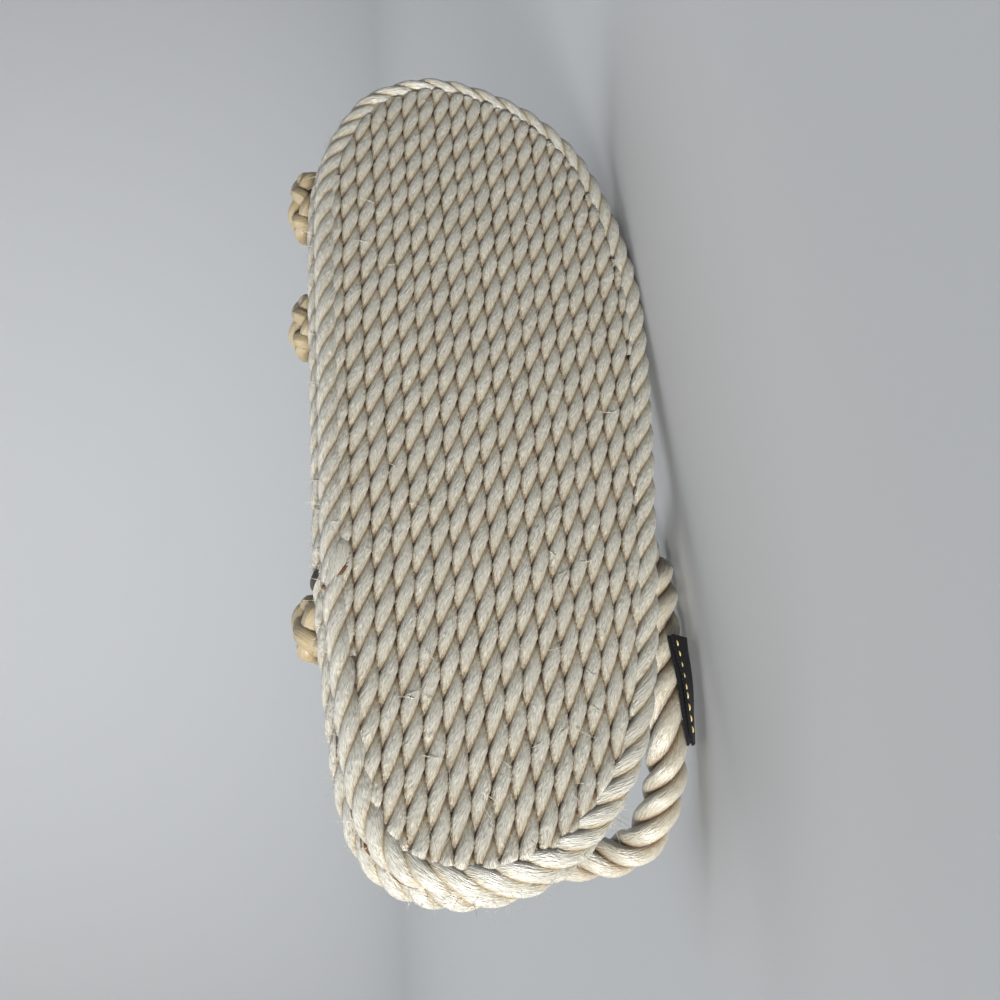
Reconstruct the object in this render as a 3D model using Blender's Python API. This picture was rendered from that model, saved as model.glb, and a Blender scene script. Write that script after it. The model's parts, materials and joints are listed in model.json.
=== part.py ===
"""Rope sandal for the left foot, slack and empty, lying on its outer side as it comes to rest.

The sole is two courses of laid rope. Each course is a field of straight rows, closed in by one
rope that runs round its edge. Two thick ropes cross over the forefoot as the upper, and a third
runs round behind the heel. Their inner ends are finished in woven knots on the sole's edge.

While it is modelled, +X points to the toe, +Y up from the tread, +Z to the inner side of the
foot, and Z = 0 is the line of rows that the outline was measured from. Lengths are in metres.
"""
import math

import bmesh
import bpy
import numpy as np
from mathutils import Matrix, Vector
from mathutils.geometry import intersect_point_tri

# Sole
SOLE_LENGTH = 0.280
BALL_WIDTH = 0.1064
COURSE_HEIGHT = 0.0062
ROW_PITCH = 0.00547
ROW_START = 0.0014
GROOVE_DEPTH = 0.0016
BORDER_WIDTH = 0.0072
FOOTBED_OVERHANG = 0.0005
FOOTBED_SHIFT = 0.0015

# Straps, knots and label. The strands' radius and offset and the first rise from a seat are shares
# of the strap rope, and a knot's taper and relief are shares of its radius.
STRAP_ROPE = 0.0130
STRAP_LAY = 0.042
STRAP_STRAND_RADIUS = 0.262
STRAP_STRAND_OFFSET = 0.238
SEAT_RISE = 0.3
HEEL_SLACK = 0.0400
INSTEP_HEIGHT = 0.0540
STRAP_BULGE = 0.0510
KNOT_OUTREACH = 0.0568
KNOT_EXIT = (0.0, 0.77, -0.64)
KNOT_TAPER = 0.52
KNOT_RELIEF = 0.10
LABEL_LENGTH = 0.0300
LABEL_WIDTH = 0.0075
LABEL_THICKNESS = 0.0022

# Fits and mesh steps
GAP = 0.0003
OUTLINE_STEP = 0.0090
ROPE_STEP = 0.0040
SECTION_SIDES = 8
ROPE_SIDES = 12
KNOT_SIDES = 14
CURVE_STEPS = 16
SHARP_ANGLE = math.radians(40)

FOOTBED_BASE = COURSE_HEIGHT + GAP
FOOTBED_TOP = FOOTBED_BASE + COURSE_HEIGHT
SEAT = FOOTBED_TOP + GAP

# Outline of the lower course.
# Columns: from the toe as a share of SOLE_LENGTH, then the distance of the inner edge and of the
# outer edge from the row line, as shares of BALL_WIDTH.
OUTLINE = (
    (0.011, 0.170, 0.078),
    (0.038, 0.292, 0.221),
    (0.065, 0.338, 0.306),
    (0.116, 0.405, 0.407),
    (0.165, 0.440, 0.455),
    (0.213, 0.453, 0.490),
    (0.282, 0.457, 0.519),
    (0.349, 0.457, 0.529),
    (0.452, 0.457, 0.512),
    (0.529, 0.457, 0.492),
    (0.584, 0.457, 0.472),
    (0.654, 0.457, 0.449),
    (0.727, 0.451, 0.426),
    (0.782, 0.440, 0.400),
    (0.840, 0.428, 0.365),
    (0.889, 0.414, 0.315),
    (0.920, 0.397, 0.262),
    (0.945, 0.370, 0.206),
    (0.968, 0.325, 0.140),
    (0.985, 0.250, 0.040),
)
TOE_TIP = (0.000, 0.060)
HEEL_TIP = (0.9945, 0.110)

# Across one row: share of ROW_PITCH, then share of GROOVE_DEPTH.
ROW_PROFILE = (
    (0.00, 1.00),
    (0.13, 0.42),
    (0.32, 0.00),
    (0.68, 0.00),
    (0.87, 0.42),
)

# Knots. Columns: name, from the toe as a share of SOLE_LENGTH, length along the edge, radius,
# number of strands that show along it.
KNOTS = (
    ("knot_toe", 0.160, 0.0265, 0.0092, 5),
    ("knot_ball", 0.340, 0.0225, 0.0090, 4),
    ("knot_heel", 0.712, 0.0190, 0.0088, 3),
)

# Routes of the straps' centre lines between their two seats.
# Columns: from the toe as a share of SOLE_LENGTH, side as a share of the named reach (inner side
# positive), height above the footbed as a share of the named height.
TOE_STRAP = (
    (0.172, 0.76, 0.47),
    (0.190, 0.58, 0.79),
    (0.226, 0.26, 0.98),
    (0.266, -0.10, 1.00),
    (0.310, -0.46, 0.89),
    (0.350, -0.80, 0.67),
    (0.377, -0.98, 0.42),
    (0.387, -0.98, 0.25),
)
BALL_STRAP = (
    (0.340, 0.76, 0.51),
    (0.328, 0.54, 0.70),
    (0.304, 0.22, 0.78),
    (0.276, -0.12, 0.78),
    (0.248, -0.46, 0.72),
    (0.224, -0.79, 0.57),
    (0.209, -0.96, 0.39),
    (0.206, -0.95, 0.24),
)
HEEL_STRAP = (
    (0.608, -0.86, 0.26),
    (0.631, -0.98, 0.27),
    (0.664, -1.02, 0.21),
    (0.724, -1.00, 0.24),
    (0.805, -0.98, 0.33),
    (0.872, -0.97, 0.52),
    (0.924, -0.83, 0.76),
    (0.932, -0.53, 0.93),
    (0.920, -0.04, 1.06),
    (0.888, 0.32, 1.06),
    (0.836, 0.58, 0.96),
    (0.774, 0.71, 0.86),
    (0.731, 0.75, 0.74),
)
# Outer seats of the straps: from the toe as a share of SOLE_LENGTH.
TOE_STRAP_SEAT = 0.390
BALL_STRAP_SEAT = 0.207
HEEL_STRAP_SEAT = 0.600
SEAT_INSET = 0.0110

# Label: where it starts along the heel strap, as a share of SOLE_LENGTH from the toe, and how far
# its face is turned from the outer side towards the tread at its front and at its rear end.
LABEL_START = 0.733
LABEL_TURN = (math.radians(58), math.radians(24))


def material(name, colour, roughness):
    """A plain surface with the part's colour."""
    made = bpy.data.materials.new(name)
    made.use_nodes = True
    shader = made.node_tree.nodes["Principled BSDF"]
    shader.inputs["Base Color"].default_value = (*colour, 1.0)
    shader.inputs["Roughness"].default_value = roughness
    shader.inputs["Metallic"].default_value = 0.0
    return made


def add_object(name, mesh, finish):
    """One named piece, its faces turned outward and shaded smooth where they are round."""
    bmesh.ops.triangulate(mesh, faces=mesh.faces)
    bmesh.ops.recalc_face_normals(mesh, faces=mesh.faces)
    data = bpy.data.meshes.new(name)
    mesh.to_mesh(data)
    mesh.free()
    data.shade_smooth()
    data.set_sharp_from_angle(angle=SHARP_ANGLE)
    data.materials.append(finish)
    piece = bpy.data.objects.new(name, data)
    bpy.context.collection.objects.link(piece)
    return piece


def smooth_curve(points, step, closed=False):
    """Evenly spaced points along a smooth curve through the given points."""
    points = np.array(points, dtype=float)
    count = len(points)
    spans = count if closed else count - 1
    dense = []
    for k in range(spans):
        if closed:
            before, start, end, after = (points[(k + i) % count] for i in (-1, 0, 1, 2))
        else:
            start, end = points[k], points[k + 1]
            before = points[k - 1] if k else 2 * start - end
            after = points[k + 2] if k + 2 < count else 2 * end - start
        for t in np.linspace(0, 1, CURVE_STEPS, endpoint=False):
            dense.append(0.5 * (2 * start + (end - before) * t
                                + (2 * before - 5 * start + 4 * end - after) * t ** 2
                                + (3 * start - before - 3 * end + after) * t ** 3))
    dense.append(points[0] if closed else points[-1])
    dense = np.array(dense)
    travelled = np.concatenate(([0], np.cumsum(np.linalg.norm(np.diff(dense, axis=0), axis=1))))
    pieces = max(3, round(travelled[-1] / step))
    wanted = np.linspace(0, travelled[-1], pieces + 1)
    even = np.column_stack([np.interp(wanted, travelled, dense[:, axis]) for axis in range(points.shape[1])])
    return even[:-1] if closed else even


def forward(share):
    """Position along the foot of a share of the sole's length from the toe."""
    return SOLE_LENGTH * (1 - share)


def course_outline():
    """Outer edge of the lower course, from above, as a closed run of points."""
    inner = [(forward(share), near * BALL_WIDTH) for share, near, far in OUTLINE]
    outer = [(forward(share), -far * BALL_WIDTH) for share, near, far in OUTLINE]
    toe = (forward(TOE_TIP[0]), TOE_TIP[1] * BALL_WIDTH)
    heel = (forward(HEEL_TIP[0]), HEEL_TIP[1] * BALL_WIDTH)
    return smooth_curve([toe, *inner, heel, *reversed(outer)], OUTLINE_STEP, closed=True)


def moved_in(outline, inset):
    """The outline moved in towards the middle of the sole by an inset."""
    along = np.roll(outline, -1, axis=0) - np.roll(outline, 1, axis=0)
    along /= np.linalg.norm(along, axis=1)[:, None]
    outward = np.column_stack((-along[:, 1], along[:, 0]))
    middle = outline.mean(axis=0)
    if np.sum(outward * (outline - middle)) < 0:
        outward = -outward
    return outline - outward * inset


def make_border(name, outline, base, finish):
    """The rope round the edge of a course, pressed to a rounded section."""
    inner = moved_in(outline, BORDER_WIDTH)
    mesh = bmesh.new()
    rings = []
    corner = 1 / math.cos(math.pi / SECTION_SIDES)
    for (outer_x, outer_z), (inner_x, inner_z) in zip(outline, inner):
        ring = []
        for k in range(SECTION_SIDES):
            turn = 2 * math.pi * (k + 0.5) / SECTION_SIDES
            across = 0.5 + 0.5 * corner * math.cos(turn)
            height = base + COURSE_HEIGHT * (0.5 + 0.5 * corner * math.sin(turn))
            ring.append(mesh.verts.new((inner_x + (outer_x - inner_x) * across, height,
                                        inner_z + (outer_z - inner_z) * across)))
        rings.append(ring)
    for ring, following in zip(rings, rings[1:] + rings[:1]):
        for k in range(SECTION_SIDES):
            after = (k + 1) % SECTION_SIDES
            mesh.faces.new((ring[k], ring[after], following[after], following[k]))
    return add_object(name, mesh, finish)


def row_span(outline, side):
    """Heel end and toe end of a row line that runs at one distance from the row line."""
    crossings = []
    for (x0, z0), (x1, z1) in zip(outline, np.roll(outline, -1, axis=0)):
        if (z0 - side) * (z1 - side) <= 0 and z0 != z1:
            crossings.append(x0 + (x1 - x0) * (side - z0) / (z1 - z0))
    return min(crossings), max(crossings)


def row_lines(field):
    """Each line across the rows: its side, its two ends and its depth below the crest."""
    low, high = field[:, 1].min() + GAP / 2, field[:, 1].max() - GAP / 2
    first = math.floor((low - ROW_START) / ROW_PITCH)
    last = math.ceil((high - ROW_START) / ROW_PITCH)
    grid = [(ROW_START + (row + share) * ROW_PITCH, depth)
            for row in range(first, last + 1) for share, depth in ROW_PROFILE]
    sides = [side for side, depth in grid if low + GAP < side < high - GAP]
    known = np.array(grid)
    lines = []
    for side in [low, *sides, high]:
        heel, toe = row_span(field, side)
        depth = float(np.interp(side, known[:, 0], known[:, 1])) * GROOVE_DEPTH
        lines.append((side, heel, toe, depth))
    return lines


def make_rows(name, outline, back, crest, finish):
    """The rope rows inside a border: one layer with its rows raised on the side that shows."""
    field = moved_in(outline, BORDER_WIDTH + GAP)
    inward = 1 if back > crest else -1
    mesh = bmesh.new()
    loops = []
    for side, heel, toe, depth in row_lines(field):
        face = crest + inward * depth
        corners = ((heel, back), (heel, face), (toe, face), (toe, back))
        loops.append([mesh.verts.new((x, y, side)) for x, y in corners])
    for loop, following in zip(loops, loops[1:]):
        for k in range(4):
            after = (k + 1) % 4
            mesh.faces.new((loop[k], loop[after], following[after], following[k]))
    mesh.faces.new(loops[0])
    mesh.faces.new(reversed(loops[-1]))
    return add_object(name, mesh, finish)


def strand_section():
    """Outline of three strands laid together, as angle and radius in rope diameters."""
    section = []
    for k in range(ROPE_SIDES):
        turn = 2 * math.pi * k / ROPE_SIDES
        from_crest = (turn + math.pi / 3) % (2 * math.pi / 3) - math.pi / 3
        across = STRAP_STRAND_OFFSET * math.sin(from_crest)
        beyond = math.sqrt(STRAP_STRAND_RADIUS ** 2 - across ** 2)
        radius = STRAP_STRAND_OFFSET * math.cos(from_crest) + beyond
        section.append((turn, radius))
    return section


def make_rope(name, route, finish):
    """A thick three-strand rope along a route, with flat ends."""
    centre = [Vector(point) for point in smooth_curve(route, ROPE_STEP)]
    section = strand_section()
    mesh = bmesh.new()
    rings = []
    side = None
    travelled = 0.0
    for k, point in enumerate(centre):
        ahead = centre[min(k + 1, len(centre) - 1)]
        behind = centre[max(k - 1, 0)]
        along = (ahead - behind).normalized()
        if side is None:
            side = along.orthogonal().normalized()
        else:
            travelled += (point - centre[k - 1]).length
            side = (side - along * side.dot(along)).normalized()
        up = along.cross(side)
        twist = 2 * math.pi * travelled / STRAP_LAY
        ring = []
        for turn, radius in section:
            reach = side * math.cos(turn + twist) + up * math.sin(turn + twist)
            ring.append(mesh.verts.new(point + reach * radius * STRAP_ROPE))
        rings.append(ring)
    for ring, following in zip(rings, rings[1:]):
        for k in range(len(ring)):
            after = (k + 1) % len(ring)
            mesh.faces.new((ring[k], ring[after], following[after], following[k]))
    mesh.faces.new(reversed(rings[0]))
    mesh.faces.new(rings[-1])
    return add_object(name, mesh, finish)


def knot_place(knot):
    """Centre of a knot, which sits on the inner edge of the footbed."""
    share, radius = knot[1], knot[3]
    return Vector((forward(share), SEAT + radius, KNOT_OUTREACH - radius))


def knot_seat(knot):
    """Where a strap leaves a knot, and the next point above it."""
    radius = knot[3]
    outward = Vector(KNOT_EXIT)
    start = knot_place(knot) + outward * (radius + GAP)
    return start, start + outward * STRAP_ROPE * SEAT_RISE


def make_knot(knot, finish):
    """A woven knot as a barrel along the sole's edge, its strands as raised rounds."""
    name, share, length, radius, strands = knot
    centre = knot_place(knot)
    rings_per_strand = 4
    steps = strands * rings_per_strand
    mesh = bmesh.new()
    rings = []
    for k in range(steps + 1):
        t = k / steps
        barrel = 1 - KNOT_TAPER * abs(2 * t - 1) ** 3
        ring = []
        for m in range(KNOT_SIDES):
            turn = 2 * math.pi * m / KNOT_SIDES
            weave = abs(math.sin(math.pi * strands * t + turn))
            reach = radius * barrel * (1 - KNOT_RELIEF + KNOT_RELIEF * weave)
            place = centre + Vector(((t - 0.5) * length, reach * math.cos(turn), reach * math.sin(turn)))
            ring.append(mesh.verts.new(place))
        rings.append(ring)
    for ring, following in zip(rings, rings[1:]):
        for m in range(KNOT_SIDES):
            after = (m + 1) % KNOT_SIDES
            mesh.faces.new((ring[m], ring[after], following[after], following[m]))
    mesh.faces.new(reversed(rings[0]))
    mesh.faces.new(rings[-1])
    return add_object(name, mesh, finish)


def route_points(table, reach, height):
    """A strap's table as points in space."""
    return [(forward(share), FOOTBED_TOP + up * height, side * reach) for share, side, up in table]


def outer_seat(share):
    """Where a strap's outer end stands on the footbed, just inside its edge, and a point above."""
    shares = [row[0] for row in OUTLINE]
    edge = float(np.interp(share, shares, [row[2] for row in OUTLINE])) * BALL_WIDTH
    seat = Vector((forward(share), SEAT, SEAT_INSET - edge))
    return seat, seat + Vector((0, STRAP_ROPE * SEAT_RISE, 0))


def make_upper(finish):
    """Two ropes that cross over the forefoot, joined where they cross."""
    toe_knot, ball_knot = KNOTS[0], KNOTS[1]
    toe_route = [*knot_seat(toe_knot), *route_points(TOE_STRAP, STRAP_BULGE, INSTEP_HEIGHT),
                 *reversed(outer_seat(TOE_STRAP_SEAT))]
    ball_route = [*knot_seat(ball_knot), *route_points(BALL_STRAP, STRAP_BULGE, INSTEP_HEIGHT),
                  *reversed(outer_seat(BALL_STRAP_SEAT))]
    upper = make_rope("upper", toe_route, finish)
    under = make_rope("upper_ball_strap", ball_route, finish)
    under.hide_render = True
    under.display_type = "WIRE"
    joint = upper.modifiers.new("crossing", "BOOLEAN")
    joint.operation = "UNION"
    joint.solver = "EXACT"
    joint.object = under
    return upper


def heel_route():
    """The heel strap's way from its outer seat round behind the heel to its knot."""
    return [*outer_seat(HEEL_STRAP_SEAT), *route_points(HEEL_STRAP, STRAP_BULGE, HEEL_SLACK),
            *reversed(knot_seat(KNOTS[2]))]


def make_label(finish):
    """A small folded tape sewn along the outer side of the heel strap."""
    steps = 8
    line = [Vector(point) for point in smooth_curve(heel_route(), LABEL_LENGTH / steps)]
    start = next(k for k, point in enumerate(line) if point.x <= forward(LABEL_START))
    mesh = bmesh.new()
    rings = []
    for k in range(steps + 1):
        point = line[start + k]
        along = (line[start + k + 1] - line[start + k - 1]).normalized()
        turn = LABEL_TURN[0] + (LABEL_TURN[1] - LABEL_TURN[0]) * k / steps
        facing = Vector((0, -math.sin(turn), -math.cos(turn)))
        facing = (facing - along * facing.dot(along)).normalized()
        wide = along.cross(facing) * LABEL_WIDTH / 2
        near = point + facing * (STRAP_ROPE / 2 + GAP)
        far = near + facing * LABEL_THICKNESS
        rings.append([mesh.verts.new(place) for place in (near - wide, near + wide, far + wide, far - wide)])
    for ring, following in zip(rings, rings[1:]):
        for k in range(4):
            after = (k + 1) % 4
            mesh.faces.new((ring[k], ring[after], following[after], following[k]))
    mesh.faces.new(reversed(rings[0]))
    mesh.faces.new(rings[-1])
    return add_object("label", mesh, finish)


def world_shape(piece):
    """Corners and triangles of a piece as it is shown, after its modifiers."""
    shown = piece.evaluated_get(bpy.context.evaluated_depsgraph_get())
    data = shown.to_mesh()
    data.calc_loop_triangles()
    corners = np.array([tuple(vertex.co) for vertex in data.vertices])
    triangles = np.array([tuple(triangle.vertices) for triangle in data.loop_triangles])
    shown.to_mesh_clear()
    return corners, triangles


def mass_centre(shapes):
    """Centre of mass of all pieces together, as if of one material."""
    volume, moment = 0.0, np.zeros(3)
    for corners, triangles in shapes:
        a, b, c = (corners[triangles[:, k]] for k in range(3))
        parts = np.einsum("ij,ij->i", a, np.cross(b, c)) / 6
        volume += parts.sum()
        moment += (parts[:, None] * (a + b + c) / 4).sum(axis=0)
    return Vector(moment / volume)


def resting_side(points, centre):
    """Direction that points down when the shoe lies still on its outer side."""
    hull = bmesh.new()
    for point in points:
        hull.verts.new(point)
    bmesh.ops.convex_hull(hull, input=hull.verts)
    steady = []
    for face in hull.faces:
        corners = [vertex.co for vertex in face.verts]
        foot = centre - face.normal * (centre - corners[0]).dot(face.normal)
        if intersect_point_tri(foot, *corners[:3]):
            steady.append(face.normal.copy())
    hull.free()
    return min(steady, key=lambda normal: normal.z)


def lay_down(pieces, helpers):
    """Turn and move the whole shoe so that it lies at rest on Z = 0, centred in plan."""
    bpy.context.view_layer.update()
    shapes = [world_shape(piece) for piece in pieces]
    points = np.concatenate([corners for corners, triangles in shapes])
    down = resting_side(points, mass_centre(shapes))
    turn = down.rotation_difference(Vector((0, 0, -1))).to_matrix()
    turned = points @ np.array(turn).T
    low, high = turned.min(axis=0), turned.max(axis=0)
    shift = Vector((-(low[0] + high[0]) / 2, -(low[1] + high[1]) / 2, -low[2]))
    for piece in [*pieces, *helpers]:
        piece.matrix_world = Matrix.Translation(shift) @ turn.to_4x4()


def build():
    for leftover in list(bpy.data.objects):
        bpy.data.objects.remove(leftover)
    sole_rope = material("sole_rope", (0.72, 0.66, 0.52), 0.45)
    strap_rope = material("strap_rope", (0.66, 0.57, 0.42), 0.50)
    knot_rope = material("knot_rope", (0.52, 0.42, 0.27), 0.55)
    woven_tape = material("woven_tape", (0.012, 0.012, 0.016), 0.70)

    tread_outline = course_outline()
    shift = np.array((-FOOTBED_SHIFT, FOOTBED_SHIFT))
    footbed_outline = moved_in(tread_outline, -FOOTBED_OVERHANG) + shift

    pieces = [
        make_rows("outsole_rows", tread_outline, COURSE_HEIGHT, 0.0, sole_rope),
        make_border("outsole_border", tread_outline, 0.0, sole_rope),
        make_rows("footbed_rows", footbed_outline, FOOTBED_BASE, FOOTBED_TOP, sole_rope),
        make_border("footbed_border", footbed_outline, FOOTBED_BASE, sole_rope),
        make_upper(strap_rope),
        make_rope("heel_strap", heel_route(), strap_rope),
        make_label(woven_tape),
    ]
    pieces += [make_knot(knot, knot_rope) for knot in KNOTS]
    helpers = [bpy.data.objects["upper_ball_strap"]]
    lay_down(pieces, helpers)


build()
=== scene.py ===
"""The look of the rope sandal, a left shoe that lies on its outer side with its tread to the camera."""

import json
import math

import bpy
import numpy as np
from mathutils import Matrix, Vector
from mathutils.geometry import convex_hull_2d


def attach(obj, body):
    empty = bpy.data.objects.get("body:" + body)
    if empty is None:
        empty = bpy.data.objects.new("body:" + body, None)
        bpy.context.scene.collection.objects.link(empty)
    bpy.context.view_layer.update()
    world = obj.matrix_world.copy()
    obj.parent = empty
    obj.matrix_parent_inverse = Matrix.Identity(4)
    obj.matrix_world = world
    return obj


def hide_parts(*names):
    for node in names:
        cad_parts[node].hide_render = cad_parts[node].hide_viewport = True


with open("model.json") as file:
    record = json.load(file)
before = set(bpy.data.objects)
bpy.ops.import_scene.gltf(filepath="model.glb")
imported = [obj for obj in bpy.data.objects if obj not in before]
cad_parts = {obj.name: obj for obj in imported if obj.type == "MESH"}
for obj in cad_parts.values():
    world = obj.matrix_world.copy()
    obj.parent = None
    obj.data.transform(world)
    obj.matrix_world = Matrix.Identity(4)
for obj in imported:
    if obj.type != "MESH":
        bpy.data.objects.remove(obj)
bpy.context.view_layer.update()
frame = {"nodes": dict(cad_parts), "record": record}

# Camera. It looks at the tread from close by, a little to the heel side and above the shoe's middle
# as it lies, and it is rolled so that the toe points up in the picture. Places on the shoe are given
# in its own axes: x from heel to toe, y from the tread up into the shoe, z to the foot's inner side.
LENS_PLACE = Vector((-0.0500, -0.2958, 0.0594))
PHOTO_AXIS = Vector((0.485, 0.875, 0.0)).normalized()
PHOTO_UP = Vector((0.875, -0.485, 0.0)).normalized()
PAN_TO_OUTER_SIDE = 0.184
TILT_TO_TOE = -0.010
LENS_LENGTH = 43.2
HEEL_MARK_PLACE = Vector((0.042, 0.0, 0.004135))

tread_marks = {mark["name"]: mark for mark in frame["record"]["mounts"]}
heel_mark = Vector(tread_marks["tread_heel"]["pos_m"])
toe_mark = Vector(tread_marks["tread_forefoot"]["pos_m"])
toeward = (toe_mark - heel_mark).normalized()
upward = -Vector(tread_marks["tread_heel"]["axis"]).normalized()
inward = toeward.cross(upward)
shoe_axes = Matrix((toeward, upward, inward)).transposed()
shoe_origin = heel_mark - shoe_axes @ HEEL_MARK_PLACE
SHOE_TURN = np.array(shoe_axes)
SHOE_PLACE = np.array(shoe_origin)

lens_right = PHOTO_AXIS.cross(PHOTO_UP)
lens_forward = (PHOTO_AXIS + lens_right * PAN_TO_OUTER_SIDE + PHOTO_UP * TILT_TO_TOE).normalized()
lens_right = lens_forward.cross(PHOTO_UP).normalized()
lens_up = lens_right.cross(lens_forward)
lens_axes = shoe_axes @ Matrix((lens_right, lens_up, -lens_forward)).transposed()
camera_data = bpy.data.cameras.new("camera")
camera_data.lens = LENS_LENGTH
camera_data.clip_start = 0.01
camera = bpy.data.objects.new("camera", camera_data)
camera.matrix_world = Matrix.Translation(shoe_origin + shoe_axes @ LENS_PLACE) @ lens_axes.to_4x4()
bpy.context.scene.collection.objects.link(camera)
bpy.context.scene.camera = camera

# Floor and light. A sheet of pale card lies under the shoe and curves up far behind it. One soft
# box stands low and well off on the heel's side, a weak wide one hangs above, a third washes the
# card's rise, and the room fills in a little.
FLOOR_HALF_WIDTH = 5.0
FLOOR_NEAR = -5.0
CURVE_START = 1.1
CURVE_RADIUS = 0.7
WALL_TOP = 2.6
CURVE_STEPS = 16
CARD_TURN = math.radians(-30)


def place_backdrop(finish):
    """The card as one sheet, extruded sideways from its side view."""
    side_view = [(FLOOR_NEAR, 0.0)]
    for k in range(CURVE_STEPS + 1):
        turn = math.pi / 2 * k / CURVE_STEPS
        back = CURVE_START + CURVE_RADIUS * math.sin(turn)
        side_view.append((back, CURVE_RADIUS * (1 - math.cos(turn))))
    side_view.append((CURVE_START + CURVE_RADIUS, WALL_TOP))
    corners = [(x, y, z) for y, z in side_view for x in (-FLOOR_HALF_WIDTH, FLOOR_HALF_WIDTH)]
    faces = [(2 * k, 2 * k + 1, 2 * k + 3, 2 * k + 2) for k in range(len(side_view) - 1)]
    sheet = bpy.data.meshes.new("backdrop")
    sheet.from_pydata(corners, [], faces)
    sheet.shade_smooth()
    sheet.materials.append(finish)
    backdrop = bpy.data.objects.new("backdrop", sheet)
    backdrop.matrix_world = Matrix.Rotation(CARD_TURN, 4, "Z")
    bpy.context.scene.collection.objects.link(backdrop)


def shine(name, place, target, size, power, colour):
    """A soft box that faces the target."""
    box = bpy.data.lights.new(name, "AREA")
    box.shape = "SQUARE"
    box.size = size
    box.energy = power
    box.color = colour
    lamp = bpy.data.objects.new(name, box)
    lamp.location = place
    lamp.rotation_euler = (Vector(target) - Vector(place)).to_track_quat("-Z", "Y").to_euler()
    bpy.context.scene.collection.objects.link(lamp)


card = bpy.data.materials.new("pale_card")
card.use_nodes = True
card_surface = card.node_tree.nodes["Principled BSDF"]
card_surface.inputs["Base Color"].default_value = (0.46, 0.47, 0.48, 1.0)
card_surface.inputs["Roughness"].default_value = 0.75
card_surface.inputs["Specular IOR Level"].default_value = 0.25
place_backdrop(card)
shine("key_box", (-1.45, -0.72, 0.16), (0.0, -0.02, 0.05), 0.42, 59.0, (1.0, 0.985, 0.95))
shine("top_box", (-0.1, -0.30, 1.25), (0.0, 0.0, 0.05), 1.1, 5.5, (0.92, 0.96, 1.0))
shine("wall_wash", (0.2, 0.6, 1.5), (1.0, 1.6, 0.3), 1.6, 20.0, (0.97, 0.985, 1.0))
room = bpy.data.worlds.new("room")
room.use_nodes = True
room.node_tree.nodes["Background"].inputs["Color"].default_value = (0.80, 0.84, 0.90, 1.0)
room.node_tree.nodes["Background"].inputs["Strength"].default_value = 0.10
bpy.context.scene.world = room
bpy.context.scene.view_settings.view_transform = "Standard"

# Tread rows. Straight lengths of glossy cream rope, three strands laid to the right, lie side by
# side and pressed together from heel to toe, and dip in under the border rope. They are glued to the
# course above, so only their lower half shows. Each row's turns lie a little further forward than
# those of the row beside it.
COURSE_HEIGHT = 0.0062
BORDER_WIDTH = 0.0072
ROW_START = 0.0014
ROW_PITCH = 0.00547
ROW_WIDTH = 0.0084
ROW_PRESS = 0.0029
ROW_FLATNESS = 0.62
STRAND_PITCH = 0.0098
ROW_ADVANCE = 0.40
ROW_STEP = 0.0010
ROW_TUCK = 0.0026
SHORTEST_ROW = 0.012
# How unevenly a row runs: its sideways wander, its swelling, and the scatter and slack of its lay.
ROW_WANDER = 0.00010
ROW_SWELL = 0.02
LAY_SCATTER = 0.0006
LAY_SLACK = 0.00035
# How a row ends: where it dips beside the border, how deep, and how narrow it gets.
SINK_START = 0.0072
SINK_REACH = 0.0034
SINK_DEPTH = 0.0034
END_WIDTH = 0.8
END_REACH = 0.012
# Where rows press together, as a share of half the pitch, and how much painted shade darkens them there.
PRESSED_START = 0.66
PRESSED_PAINTED_SHADE = 0.42
# One strand: its points across, its roundness, its groove's depth and painted shade, and its fibres' lean.
STRAND_POINTS = 7
STRAND_PLUMPNESS = 1.9
GROOVE_SHARE = 0.42
GROOVE_PAINTED_SHADE = 0.76
GROOVE_SHARPNESS = 2.7
FIBRE_LEAN = 0.45
HIDDEN_TURN = -0.35
EDGE_STEP = 0.0010
EDGE_SOFTNESS = 4.0
CURVE_POINTS = 16
FOOTBED_BASE = 0.0065


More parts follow.
